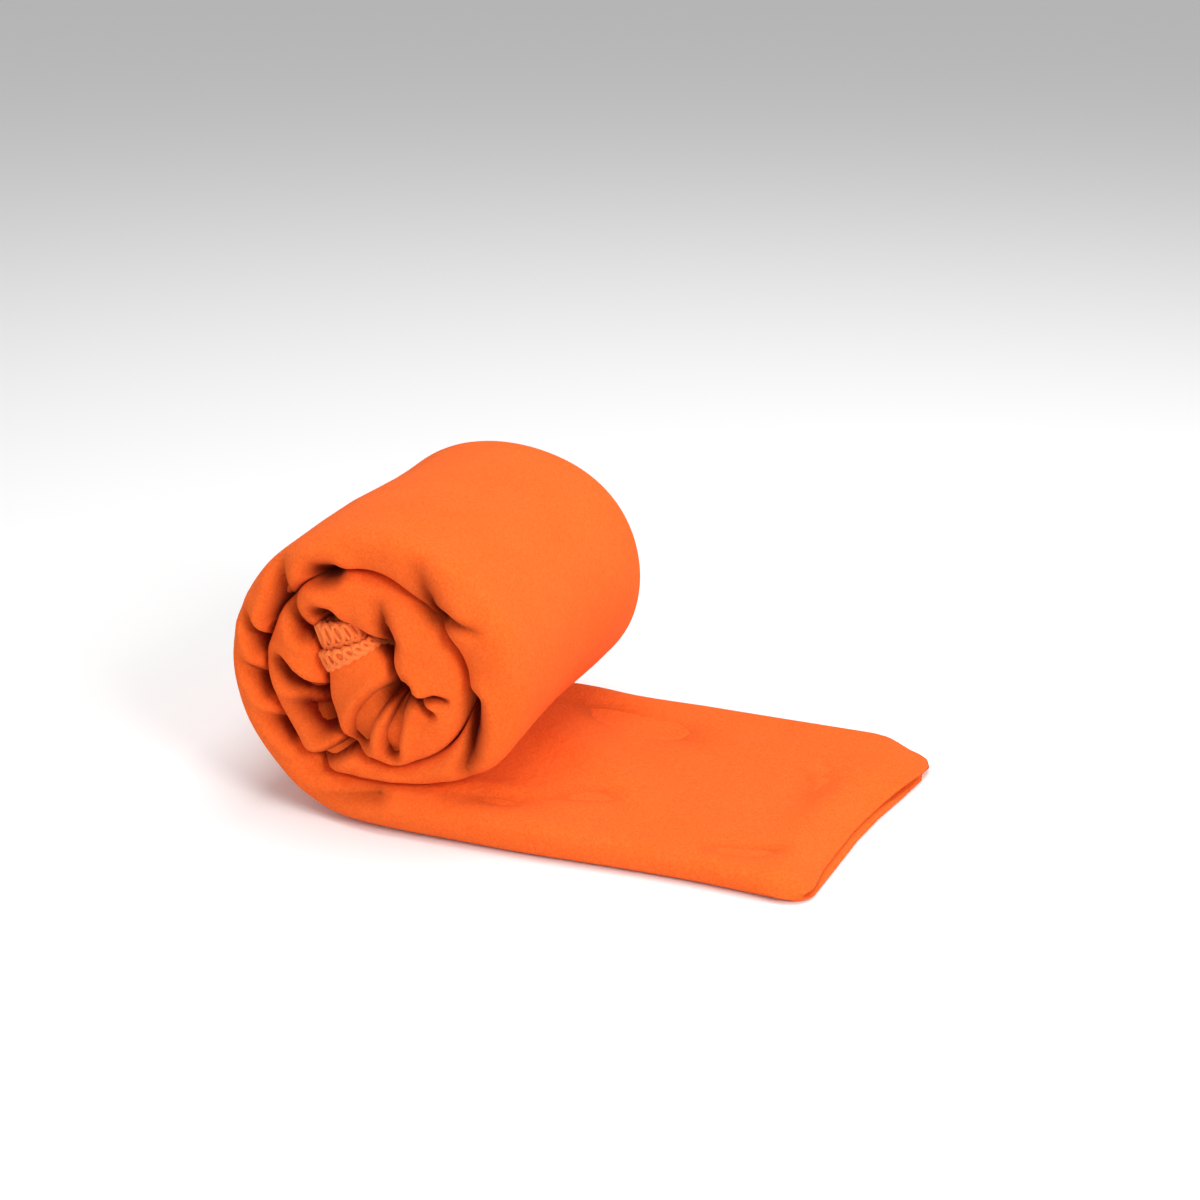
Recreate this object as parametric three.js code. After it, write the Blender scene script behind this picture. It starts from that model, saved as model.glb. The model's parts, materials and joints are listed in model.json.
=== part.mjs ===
// Quick dry towel, 500 x 1000 mm, folded to a narrow strip and rolled up from one end, with the
// last stretch of the strip left lying flat.
//
// Millimetres, +Z up. The roll's axis runs along Y, and the flat tail points along +X.
//
// The cloth is folded crosswise in half, then lengthwise in thirds, and the thirds are folded in
// half like a book. So the strip is twelve layers thick, and each third is a U-shaped channel,
// one inside the other, with its round fold on the near side (-Y) and its edges on the far side.
// Each channel is two layers of cloth thick in each arm. The roll and the tail are cut apart at
// the line where the tail bends up.

import * as THREE from "three";

// ---- driving dimensions ----

const towelWidth = 500; // hem to hem
const foldedWidth = towelWidth / 3 / 2; // in thirds, then in half
const stackThickness = 9.2; // twelve layers of cloth, as laid
const layerGap = 0.4; // air between one third and the next
const hemWidth = 5; // overlocked edge
const hemInset = 0.8; // the hems lie this far inside the strip's far side
const hiddenHemInset = 2.8; // the last edge lies behind the fold of the outer third

// The strip's middle line: its distance from the roll's centre at each quarter turn, from the
// foot of the roll inwards, by the left, the top and the right.
const quarterRadii = [33.4, 34.3, 33.5, 32.9, 23.6, 24.2, 21, 21.6, 13.8, 5, 10.5];
// The weight of the roll presses the stack flat underneath, and the core stays loose.
const quarterStacks = [11, 8.8, 10.6, 10.2, 6.2, 10, 12.4, 9.8, 11.2, 14.5, 15];
const centreHeight = quarterStacks[0] / 2 + quarterRadii[0]; // the roll rests on the ground
const straightTurn = 792; // degrees turned where the strip stops bending
const straightRun = 0.11; // millimetres of straight strip for one degree after that
const coreTurn = 856; // degrees turned where the strip ends, in the core
const shortHemTurn = 830; // degrees turned where the crosswise hems begin

const hingeReach = 46; // from the roll's centre to the line where the tail bends
const hingeStack = 9;
const tailReach = 114.15; // from the roll's centre to the middle of the tail's end
const tailSkew = 0.15; // the end is oblique: this much longer for each millimetre towards +Y
const tailEndStack = 6.5;
const tailRecess = 6; // the inner thirds stop this far short of the outer one
const hingeGap = 0.3;

const turnStep = 15; // degrees from one cross-section to the next
const lipSegments = 5; // flats round each fold

const orange = 0xff7a38;
const threadOrange = 0xff9a5c;

// ---- the strip's middle line ----

const radians = THREE.MathUtils.degToRad;
const footScale = radians(1) * quarterRadii[0]; // millimetres of flat strip for one degree

// A smooth curve through the values at the quarter turns, level at its first value.
function easedAt(values, turn) {
  const last = values.length - 1;
  const quarter = Math.min(Math.floor(turn / 90), last - 1);
  const slopeOf = (k) => (k === 0 ? 0 : (values[Math.min(k + 1, last)] - values[k - 1]) / 2);
  const t = turn / 90 - quarter;
  const rise = values[quarter + 1] - values[quarter];
  const bow = (1 - t) * (slopeOf(quarter) - rise) - t * (slopeOf(quarter + 1) - rise);
  return values[quarter] + t * rise + t * (1 - t) * bow;
}

// How thick the strip is. Below zero turns it lies flat and thins towards its end.
function stackAt(turn) {
  if (turn >= 0) return easedAt(quarterStacks, turn);
  const reach = -turn * footScale;
  if (reach < hingeReach) return THREE.MathUtils.lerp(quarterStacks[0], hingeStack, reach / hingeReach);
  const along = (reach - hingeReach) / (tailReach - hingeReach);
  return THREE.MathUtils.lerp(hingeStack, tailEndStack, Math.min(along, 1));
}

// A point of the middle line, as [x, z]: flat on the ground, then round the centre, then straight
// on into the core.
function middleAt(turn) {
  if (turn < 0) return [-turn * footScale, stackAt(turn) / 2];
  if (turn > straightTurn) {
    const [x0, z0] = middleAt(straightTurn - 1);
    const [x1, z1] = middleAt(straightTurn);
    const run = ((turn - straightTurn) * straightRun) / Math.hypot(x1 - x0, z1 - z0);
    return [x1 + (x1 - x0) * run, z1 + (z1 - z0) * run];
  }
  const radius = easedAt(quarterRadii, turn);
  const angle = radians(turn);
  return [-radius * Math.sin(angle), centreHeight - radius * Math.cos(angle)];
}

// The direction across the layers, towards the inside of the roll.
function inwardAt(turn) {
  if (turn <= 0) return [0, 1];
  const [x0, z0] = middleAt(turn - 1);
  const [x1, z1] = middleAt(turn + 1);
  const length = Math.hypot(x1 - x0, z1 - z0);
  return [(z1 - z0) / length, -(x1 - x0) / length];
}

// ---- cross-sections, with the strip's width along x and its layers along y ----

const farSide = foldedWidth / 2;
const lipCentre = -farSide + stackThickness / 2;

// A channel between two distances from the middle layer. Its two arms can stop at different
// distances from the far side, which leaves room for a hem.
function channelSection(inner, outer, lowerInset, upperInset) {
  const shape = new THREE.Shape();
  shape.moveTo(farSide - lowerInset, -inner);
  shape.absarc(lipCentre, 0, inner, -Math.PI / 2, -Math.PI * 1.5, true);
  shape.lineTo(farSide - upperInset, inner);
  shape.lineTo(farSide - upperInset, outer);
  shape.absarc(lipCentre, 0, outer, Math.PI / 2, Math.PI * 1.5, false);
  shape.lineTo(farSide - lowerInset, -outer);
  shape.closePath();
  return shape;
}

// An edge band between two distances from the middle layer, both on one side of it.
function hemSection(low, high, inset) {
  const shape = new THREE.Shape();
  shape.moveTo(farSide - inset - hemWidth, low);
  shape.lineTo(farSide - inset, low);
  shape.lineTo(farSide - inset, high);
  shape.lineTo(farSide - inset - hemWidth, high);
  shape.closePath();
  return shape;
}

// ---- winding a flat extrusion ----

// Extrudes a section along the flat strip, then winds it: the depth becomes degrees turned, and
// place(turn, across, layer) gives each point's position in the roll or in the tail.
function wound(section, fromTurn, toTurn, place) {
  const depth = toTurn - fromTurn;
  const steps = Math.max(1, Math.round(depth / turnStep));
  const geometry = new THREE.ExtrudeGeometry(section, {
    depth,
    steps,
    curveSegments: lipSegments,
    bevelEnabled: false,
  });
  const position = geometry.attributes.position;
  for (let i = 0; i < position.count; i += 1) {
    const turn = toTurn - position.getZ(i);
    const [x, y, z] = place(turn, position.getX(i), position.getY(i) / stackThickness);
    position.setXYZ(i, x, y, z);
  }
  geometry.computeVertexNormals();
  return geometry;
}

// How far the end face leans back from the bending line. The upper half is mitred at 45 degrees,
// so that the tail can bend up to a right angle.
function mitre(layer) {
  return hingeGap / 2 + Math.max(0, layer * hingeStack);
}

const hingeTurn = -hingeReach / footScale;

// A point of the roll: turn in degrees, across in millimetres, layer from -0.5 to 0.5.
function placeInRoll(turn, across, layer) {
  const [x, z] = middleAt(turn);
  const [inX, inZ] = inwardAt(turn);
  const offset = layer * stackAt(turn);
  const lean = turn <= hingeTurn + 0.01 ? mitre(layer) : 0;
  return [x + offset * inX - lean, across, z + offset * inZ];
}

// A point of the tail, whose end is oblique.
function placeInTail(turn, across, layer) {
  const [x, z] = middleAt(turn);
  const stretch = 1 + (tailSkew * across) / (tailReach - hingeReach);
  const lean = turn >= hingeTurn - 0.01 ? mitre(layer) : 0;
  return [hingeReach + (x - hingeReach) * stretch + lean, across, z + layer * stackAt(turn)];
}

// ---- the pieces ----

const cloth = new THREE.MeshStandardMaterial({ color: orange, roughness: 0.95, metalness: 0 });
const thread = new THREE.MeshStandardMaterial({ color: threadOrange, roughness: 0.7, metalness: 0 });

const towel = new THREE.Group();

function add(name, geometry, material) {
  const mesh = new THREE.Mesh(geometry, material);
  mesh.name = name;
  towel.add(mesh);
}

// The arms of the three channels share the half stack equally.
const arm = stackThickness / 2 / 3;
const between = layerGap / 2;
const hemRoom = hemWidth + layerGap;
const thirds = [
  {
    name: "first_third",
    inner: between,
    outer: arm - between,
    lowerInset: 0.5,
    upperInset: hemInset + hemRoom,
  },
  {
    name: "last_third",
    inner: arm + between,
    outer: 2 * arm - between,
    lowerInset: hiddenHemInset + hemRoom,
    upperInset: 0.5,
  },
  { name: "outer_third", inner: 2 * arm + between, outer: 3 * arm, lowerInset: 0, upperInset: 0 },
];
const longHems = [
  { name: "first_long_hem", low: between, high: arm - between, inset: hemInset },
  { name: "last_long_hem", low: -2 * arm + between, high: -arm - between, inset: hiddenHemInset },
];

const tailEndTurn = -tailReach / footScale;
const recessTurn = -(tailReach - tailRecess) / footScale;
const hemCut = 2; // degrees of air between the cloth and its crosswise hem

for (const third of thirds) {
  const section = channelSection(third.inner, third.outer, third.lowerInset, third.upperInset);
  const whole = channelSection(third.inner, third.outer, 1, 1);
  const tailStop = third.name === "outer_third" ? tailEndTurn : recessTurn;
  add(`${third.name}_roll`, wound(section, hingeTurn, shortHemTurn - hemCut, placeInRoll), cloth);
  add(`${third.name}_tail`, wound(section, tailStop, hingeTurn, placeInTail), cloth);
  add(`short_hems_${third.name}`, wound(whole, shortHemTurn, coreTurn, placeInRoll), thread);
}

for (const hem of longHems) {
  const section = hemSection(hem.low, hem.high, hem.inset);
  add(`${hem.name}_roll`, wound(section, hingeTurn, shortHemTurn - hemCut, placeInRoll), thread);
  add(`${hem.name}_tail`, wound(section, recessTurn, hingeTurn, placeInTail), thread);
}

// The origin is on the ground, in the middle of the towel's outline.
const outline = new THREE.Box3().setFromObject(towel);
const middle = outline.getCenter(new THREE.Vector3());
towel.position.set(-middle.x, -middle.y, -outline.min.z);

export default towel;
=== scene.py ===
# %% [markdown]
# # A quick dry towel, rolled up with its last stretch left flat
#
# This lesson builds one microfibre travel towel. The real towel is a single sheet of cloth, 500 by
# 1000 mm, so the lesson makes a single sheet too: every point of the flat towel is carried to its
# place in the fold and the roll by one function. The overlocked edges are real threads that ride on
# that sheet. Sizes are in millimetres until a mesh is made.

# %% The frame
import json
import math

import bpy
import numpy as np
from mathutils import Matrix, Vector


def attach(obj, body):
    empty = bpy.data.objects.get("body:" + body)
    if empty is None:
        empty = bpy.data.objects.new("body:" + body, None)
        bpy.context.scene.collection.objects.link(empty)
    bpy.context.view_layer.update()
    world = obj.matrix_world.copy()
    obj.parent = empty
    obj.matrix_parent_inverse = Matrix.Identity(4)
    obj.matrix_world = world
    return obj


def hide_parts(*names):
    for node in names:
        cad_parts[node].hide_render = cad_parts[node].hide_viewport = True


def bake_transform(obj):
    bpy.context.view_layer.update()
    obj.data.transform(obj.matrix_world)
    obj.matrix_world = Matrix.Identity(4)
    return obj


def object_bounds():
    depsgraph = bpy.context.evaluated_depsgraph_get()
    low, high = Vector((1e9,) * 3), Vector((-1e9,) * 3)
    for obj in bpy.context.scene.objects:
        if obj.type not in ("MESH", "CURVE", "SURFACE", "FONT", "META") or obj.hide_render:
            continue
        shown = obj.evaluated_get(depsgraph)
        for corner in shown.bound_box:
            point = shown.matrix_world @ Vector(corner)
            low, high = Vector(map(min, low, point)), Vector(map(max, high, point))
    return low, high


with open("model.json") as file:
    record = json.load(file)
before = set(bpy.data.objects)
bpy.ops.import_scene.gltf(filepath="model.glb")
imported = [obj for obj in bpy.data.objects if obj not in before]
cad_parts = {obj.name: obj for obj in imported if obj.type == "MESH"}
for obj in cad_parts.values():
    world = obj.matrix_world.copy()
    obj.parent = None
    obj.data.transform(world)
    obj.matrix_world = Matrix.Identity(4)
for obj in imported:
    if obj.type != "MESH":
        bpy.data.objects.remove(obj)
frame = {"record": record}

cad_low, cad_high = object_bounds()
MM = 0.001
print("frame box in mm:", [round(v / MM, 1) for v in (*cad_low, *cad_high)])

# %% [markdown]
# ## How the towel is folded
#
# The towel is folded crosswise in half, then lengthwise in thirds, then in half like a book. That
# gives a strip a sixth of the towel's width, with twelve layers. One side of the strip is a single
# round fold, and the other shows the folded edges. From the underside up, leaf a of the cloth lies in
# layers 0, 3, 5, 6, 8 and 11, and leaf b in the others. A table holds the layer that each sixth of the
# width lies in, because that is all a folding is.

# %% Sizes of the folded strip
WIDTH, LENGTH = 500.0, 1000.0
STRIP = WIDTH / 6
SIDE = STRIP / 2
LAYERS = 12
CLOTH = 0.45  # the cloth's thickness, pressed in the fold
HEM = 5.0  # the width of the overlocked edge

# The layer of each sixth of the width, for leaf a and leaf b.
SIXTH_LAYERS = np.array([[6, 5, 0, 11, 8, 3], [7, 4, 1, 10, 9, 2]], float)

LIP = 7.0  # how far the round near fold reaches into the strip
HIDDEN_LIP_INSET = 3.6  # the inner layers stop this far short of the outermost fold
NEST = 0.75  # and each further layer this much more
HEM_INSET = {0: 0.8, 6: 2.8}  # how far the two long edges lie inside the far side

print("strip width", round(STRIP, 1), "mm, layers", LAYERS)

# %% [markdown]
# ## Smooth curves through a few values
#
# The roll is drawn with a few radii, one at each quarter turn. A cubic that leaves each value
# with the slope of its neighbours joins them without a corner. The same helper serves every drawn
# outline in this file.

# %% A curve through evenly spaced values


def through(values, at):
    """Height of a smooth curve at the places `at`, counted in steps of the list. Between two values it
    is the straight line between them plus t(1 - t) times a bow that gives each end its slope."""
    values = np.asarray(values, float)
    slopes = np.gradient(values)
    slopes[0] = 0.0
    at = np.clip(at, 0, len(values) - 1.0001)
    k = np.floor(at).astype(int)
    t = at - k
    rise = values[k + 1] - values[k]
    bow = (1 - t) * (slopes[k] - rise) - t * (slopes[k + 1] - rise)
    return values[k] + t * rise + t * (1 - t) * bow


def ease(low, high, value):
    """Smoothstep: 0 below low, 1 above high, and 3t^2 - 2t^3 between them."""
    t = np.clip((value - low) / (high - low), 0, 1)
    return t * t * (3 - 2 * t)


def mix(a, b, t):
    """The value a share t of the way from a to b."""
    return a + (b - a) * t


# %% [markdown]
# ## The winding
#
# Along its length the strip first lies flat, then winds two and a bit turns. `turn` is the angle in
# degrees that the strip has gone round, by the left, the top and the right; below zero the strip lies
# flat. Deep inside the roll the strip keeps to a middle line and a thickness, nearly the same as the
# frame's solids have.

# %% The winding inside the roll
QUARTER_RADII = [33.4, 34.3, 33.5, 32.9, 23.6, 24.2, 21, 21.6, 13.8, 5, 10.5]
QUARTER_STACKS = [11, 8.8, 10.6, 10.2, 6.2, 10, 12.4, 9.8, 11.2, 14.5, 15]
TAIL_STEP = 20  # the flat strip's values lie this far apart
TAIL_STACKS = [QUARTER_STACKS[0], 11.6, 9.6, 8.4, 7.6, 7.0, 6.6]
CENTRE = QUARTER_RADII[0] + QUARTER_STACKS[0] / 2  # height of the roll's centre
AXIS_X = cad_low.x / MM + QUARTER_RADII[1] + QUARTER_STACKS[1] / 2
joint = frame["record"]["behaviour"]["joints"][0]
BEND = np.array(joint["pos_m"]) / MM  # where the tail bends up
BEND_REACH = BEND[0] - AXIS_X
TAIL_REACH = 114.15  # from the roll's centre to the tail's end, at the middle of its width
TAIL_SKEW = 0.15  # the tail's end is oblique
FOOT = math.radians(1) * QUARTER_RADII[0]  # flat strip for one degree of turn
STRAIGHT_TURN, STRAIGHT_RUN = 792, 0.17  # from this turn on the strip is straight, in mm a degree


def middle_line(turn):
    """The strip's middle, as x and z from the foot of the roll: a flat run above the ground, then a
    circle of varying radius round the roll's centre, then a straight run on into the core."""
    bent = np.minimum(turn, STRAIGHT_TURN)
    radius = through(QUARTER_RADII, bent / 90)
    angle = np.radians(bent)
    x, z = -radius * np.sin(angle), CENTRE - radius * np.cos(angle)
    last = np.radians(STRAIGHT_TURN - 1)
    before = through(QUARTER_RADII, (STRAIGHT_TURN - 1) / 90)
    step_x, step_z = x + before * np.sin(last), z - CENTRE + before * np.cos(last)
    run = np.maximum(turn - STRAIGHT_TURN, 0) * STRAIGHT_RUN / np.hypot(step_x, step_z)
    x, z = x + step_x * run, z + step_z * run
    flat = turn < 0
    x = np.where(flat, -turn * FOOT, x)
    z = np.where(flat, tail_stack(-turn * FOOT) / 2, z)
    return x, z


def tail_stack(reach):
    """Thickness of the flat strip: full at the foot, thinner towards its end."""
    return through(TAIL_STACKS, reach / TAIL_STEP)


def inside_edges(turn):
    """The strip's outer and inner faces deep inside the roll, half its thickness to either side of the
    middle line."""
    x, z = middle_line(turn)
    step = 0.5
    x0, z0 = middle_line(np.maximum(turn - step, 0))
    x1, z1 = middle_line(np.maximum(turn, 0) + step)
    length = np.hypot(x1 - x0, z1 - z0)
    across_x, across_z = (z1 - z0) / length, -(x1 - x0) / length
    half = np.where(turn < 0, tail_stack(-turn * FOOT), through(QUARTER_STACKS, turn / 90)) / 2
    across_x, across_z = np.where(turn <= 0, 0, across_x), np.where(turn <= 0, 1, across_z)
    outer = np.stack([x - half * across_x, z - half * across_z], -1)
    inner = np.stack([x + half * across_x, z + half * across_z], -1)
    return outer, inner


# %% [markdown]
# ## The winding at the near end
#
# At the near end the folds are free, so they puff up until they touch their neighbours. There the
# strip is drawn by its edges instead: one line of radii, every 30 degrees, is the outer edge of every
# turn, and the same line a full turn later is the inner edge. In the core the inner edge pinches to a
# point, the way a thick strip does round a tight bend, so that part is drawn with points.

# %% The outline at the near end
RIM_STEP = 30
RIM = [38.9, 41.0, 41.4, 41.0, 40.0, 39.4, 39.2, 38.9, 38.6, 38.0, 35.4, 29.6,
       26.9, 30.2, 30.0, 31.7, 30.6, 29.3, 27.3, 23.4, 22.6, 23.4,
       23.0, 22.5, 22.4, 19.4, 16.8, 14.6, 17.6, 23.5]  # fmt: skip
CORE_START = 480
CORE_X = [-17.6, -14.6, -5.5, 2.4, 4.0, 7.2, 14.6, 14.2, 7.0, 3.7, 2.4, -0.4, -2.8, -6.4]
CORE_Z = [46.5, 53.8, 50.8, 47.6, 43.0, 37.8, 35.6, 35.2, 37.4, 41.4, 45.2, 47.8, 49.6, 53.8]
LAST_ARC = 810  # after this the strip runs almost straight to its end
LAG = 0.4  # there it comes round by this much less for each degree
TURN_GAP = 0.25  # air between a turn and the next
FOOT_GAP = 0.2  # and at the foot


def rim_point(turn, inset=0.0):
    """A point of the outline: its radius at this turn, laid off from the roll's centre."""
    radius = through(RIM, turn / RIM_STEP) - inset
    angle = np.radians(turn - LAG * np.maximum(turn - LAST_ARC, 0))
    return np.stack([-radius * np.sin(angle), CENTRE - radius * np.cos(angle)], -1)


def near_edges(turn):
    """The strip's outer and inner edges at the near end."""
    wound = np.maximum(turn, 0)
    outer = rim_point(wound)
    neighbour = rim_point(np.minimum(wound, CORE_START) + 360, inset=TURN_GAP)
    at = (wound - CORE_START) / RIM_STEP
    core = np.stack([through(CORE_X, at), through(CORE_Z, at)], -1)
    inner = np.where((wound < CORE_START)[..., None], neighbour, core)
    reach = -np.minimum(turn, 0) * FOOT
    flat = turn < 0
    outer_flat = np.stack([reach, np.zeros_like(reach)], -1)
    foot_height = CENTRE - RIM[360 // RIM_STEP] + FOOT_GAP
    inner_height = mix(foot_height, tail_stack(reach), ease(0, 12, reach))
    inner_flat = np.stack([reach, inner_height], -1)
    outer = np.where(flat[..., None], outer_flat, outer)
    inner = np.where(flat[..., None], inner_flat, inner)
    return outer, inner


check_turns = np.array([0.0, 180.0, 450.0, 810.0])
print("near outline:", np.round(near_edges(check_turns)[0], 1).tolist())

# %% [markdown]
# ## From length to turn
#
# The cloth has a fixed length, so a point is found by how far along the strip it lies. The length of
# the middle line is summed up once, and read backwards: length in, turn out.

# %% Length along the strip
END_TURN = 839
TAIL_TURN = -TAIL_REACH / FOOT
turn_table = np.linspace(TAIL_TURN, END_TURN + 30, 4000)
table_x, table_z = middle_line(turn_table)
length_table = np.concatenate([[0], np.cumsum(np.hypot(np.diff(table_x), np.diff(table_z)))])
ROLLED_LENGTH = float(np.interp(END_TURN, turn_table, length_table))
LEAF_B_LEAD = 4.6  # the inner leaf's edge shows this far beyond the outer one's


def turn_at(along, leaf):
    """The turn at a distance from the crosswise fold, 0 to 500 mm, on leaf a (0) or leaf b (1)."""
    reach = ROLLED_LENGTH + LEAF_B_LEAD * leaf * ease(300, 500, along)
    return np.interp(along / (LENGTH / 2) * reach, length_table, turn_table)


print("strip from tail to core:", round(ROLLED_LENGTH, 1), "mm of", LENGTH / 2)

# %% [markdown]
# ## Across the width
#
# Across the width the cloth runs to and fro between the far side and the near side. Each fold is a
# half circle, squared a little so that it looks soft and full, and the runs between folds are
# straight. The result is how far across a point lies, and how deep in the stack of layers.

# %% The cross-section
SLIDE_POWER, BULGE_POWER = 0.9, 0.72  # below 1 these square up a half circle


def fold_tables():
    """For each of the seven folds or edges and for both leaves: the layer at the fold's middle, half
    the layers it spans, how far it is set in, how deep it is, and half its length of cloth."""
    centre, span, inset, depth, half = (np.zeros((2, 7)) for _ in range(5))
    for leaf in (0, 1):
        layers = SIXTH_LAYERS[leaf]
        for fold in range(7):
            if fold in HEM_INSET:
                inset[leaf, fold] = HEM_INSET[fold]
                centre[leaf, fold] = layers[0 if fold == 0 else 5]
                continue
            before, after = layers[fold - 1], layers[fold]
            centre[leaf, fold] = (before + after) / 2
            span[leaf, fold] = (after - before) / 2
            size = abs(span[leaf, fold])
            # folds on the far side, the outermost near fold, then the near folds inside it
            if fold % 2 == 0:
                inset[leaf, fold] = (2.5 - size) * 0.5
                depth[leaf, fold] = 0.5 + size * 0.9
                half[leaf, fold] = 1.2 + size * 1.4
            elif size > 5:
                depth[leaf, fold] = LIP
                half[leaf, fold] = 11.0
            else:
                inset[leaf, fold] = HIDDEN_LIP_INSET + (4.5 - size) * NEST
                depth[leaf, fold] = 3.0 + size * 0.2
                half[leaf, fold] = 4.0 + size
    return centre, span, inset, depth, half


FOLD_CENTRE, FOLD_SPAN, FOLD_INSET, FOLD_DEPTH, FOLD_HALF = fold_tables()


def soft_arc(t):
    """A half circle swept from -1 to 1, squared up: how far along its diameter, and how far it has
    bulged, each a power of the sine and cosine."""
    angle = t * math.pi / 2
    sine, cosine = np.sin(angle), np.cos(angle)
    return np.sign(sine) * np.abs(sine) ** SLIDE_POWER, np.clip(cosine, 0, 1) ** BULGE_POWER


def section(across, leaf):
    """Where a point of the width lies: its place from the near side, its place from the far side, a
    weight for which of the two counts, and its depth in the stack from 0 to 1."""
    sixth = np.clip(np.floor(across / STRIP).astype(int), 0, 5)
    fold = np.clip(np.round(across / STRIP).astype(int), 0, 6)
    away = across - fold * STRIP
    half = FOLD_HALF[leaf, fold]
    t = np.clip(away / np.maximum(half, 0.01), -1, 1)
    slide, bulge = soft_arc(t)
    in_fold = np.abs(away) < half
    folded_layer = FOLD_CENTRE[leaf, fold] + FOLD_SPAN[leaf, fold] * slide
    layer = np.where(in_fold, folded_layer, SIXTH_LAYERS[leaf, sixth])
    from_end = FOLD_INSET[leaf, fold] + FOLD_DEPTH[leaf, fold] * (1 - bulge)
    start = sixth * STRIP + FOLD_HALF[leaf, sixth]
    stop = (sixth + 1) * STRIP - FOLD_HALF[leaf, sixth + 1]
    run = np.clip((across - start) / (stop - start), 0, 1)
    near_first = sixth % 2 == 1
    near_share = np.where(near_first, 1 - run, run)
    near_fold = np.where(near_first, sixth, sixth + 1)
    far_fold = np.where(near_first, sixth + 1, sixth)
    near_end = FOLD_INSET[leaf, near_fold] + FOLD_DEPTH[leaf, near_fold]
    far_end = FOLD_INSET[leaf, far_fold] + FOLD_DEPTH[leaf, far_fold]
    at_near = fold % 2 == 1
    near_share = np.where(in_fold, np.where(at_near, 1.0, 0.0), near_share)
    near_offset = np.where(in_fold & at_near, from_end, near_end)
    far_offset = np.where(in_fold & ~at_near, from_end, far_end)
    return near_share, near_offset, far_offset, (layer + 0.5) / LAYERS


# %% [markdown]
# ## Creases and dimples
#
# A thick fold forced round a tight bend puckers, and the folds have deep creases that run in from the
# gaps between the turns. Each crease is a short line drawn on the near end with a width and a depth.
# Everything near the line is pushed into the roll, and the cloth beside it swells a little. Each
# crease keeps to its own turns of the roll, so that it doesn't dent the turn beside it. Shade is also
# painted into the cloth's colour along each crease, so the finish is darker there.

# %% Creases on the near end
OUTER_TURN, INNER_TURN, CORE, ANY = (-60, 372), (378, 640), (560, 900), (-60, 900)
# Each crease: the turns it lies in, its width, its depth at its start and at its end, then its points
# as x and height.
CREASES = [
    (OUTER_TURN, 1.3, 1.0, 10.0, [(-23.7, 67.0), (-24.5, 61.2), (-25.7, 55.5), (-26.9, 51.5)]),
    (OUTER_TURN, 1.1, 1.0, 10.0, [(-35.1, 52.5), (-33.1, 47.5), (-31.1, 43.0)]),
    (OUTER_TURN, 1.2, 1.0, 10.0, [(-35.9, 39.0), (-32.6, 34.9), (-30.1, 32.0)]),
    (OUTER_TURN, 1.3, 0.8, 9.0, [(-31.7, 25.5), (-28.1, 23.6), (-24.5, 20.9)]),
    (OUTER_TURN, 1.3, 0.2, 2.6, [(-19.0, 6.4), (-9.7, 7.6), (0.3, 9.1)]),
    (OUTER_TURN, 2.0, 1.2, 6.6, [(11.9, 69.5), (13.3, 64.5), (14.5, 60.7), (16.5, 58.1)]),
    (OUTER_TURN, 1.0, 5.0, 1.2, [(16.9, 57.9), (21.2, 57.4), (26.1, 56.1)]),
    (OUTER_TURN, 1.6, 9.0, 2.4, [(24.9, 37.1), (25.3, 30.9), (24.3, 24.4), (22.2, 19.0)]),
    (ANY, 1.7, 10.0, 8.0, [(-14.1, 65.5), (-11.7, 65.9)]),
    (INNER_TURN, 1.3, 6.0, 12.0, [(-26.9, 40.3), (-24.0, 37.6), (-20.0, 35.2), (-15.6, 33.4)]),
    (INNER_TURN, 2.4, 6.0, 13.0, [(-19.6, 29.6), (-17.0, 28.2), (-14.4, 27.0)]),
    (INNER_TURN, 1.3, 4.5, 11.0, [(-17.3, 15.9), (-12.8, 18.4), (-7.9, 21.4)]),
    (INNER_TURN, 1.5, 2.2, 9.5, [(-22.1, 57.0), (-20.5, 53.1), (-18.9, 49.7)]),
    (INNER_TURN, 1.3, 6.5, 6.5, [(-15.3, 55.3), (-13.1, 54.7)]),
    (INNER_TURN, 1.6, 1.6, 6.6, [(1.3, 59.0), (1.9, 54.5), (3.1, 50.1)]),
    (CORE, 0.8, 8.5, 3.4, [(8.9, 38.9), (11.0, 37.3), (12.5, 35.3), (14.1, 33.5)]),
    (CORE, 0.7, 6.5, 2.4, [(10.7, 37.7), (15.3, 37.7), (18.1, 37.1)]),
    (CORE, 1.5, 10.0, 11.0,
     [(8.1, 38.9), (4.6, 37.8), (0.9, 35.0), (-2.8, 31.0), (-4.8, 26.7), (-5.4, 23.6)]),
    (CORE, 1.1, 6.5, 11.0, [(7.9, 37.9), (5.9, 33.5), (4.3, 28.0), (3.6, 24.5), (3.4, 21.6)]),
]  # fmt: skip
TURN_FADE = 6  # a crease fades out over this many degrees beyond its turns
# the push falls off with this power, and the painted shade reaches this many crease widths
CREASE_POWER, PAINTED_SHADE_REACH = 1.1, 1.4
# The swelling beside a crease: its share of the depth, then its distance and its spread in widths.
RIDGE_SHARE, RIDGE_AT, RIDGE_SPREAD = 0.2, 2.9, 2.4


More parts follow.
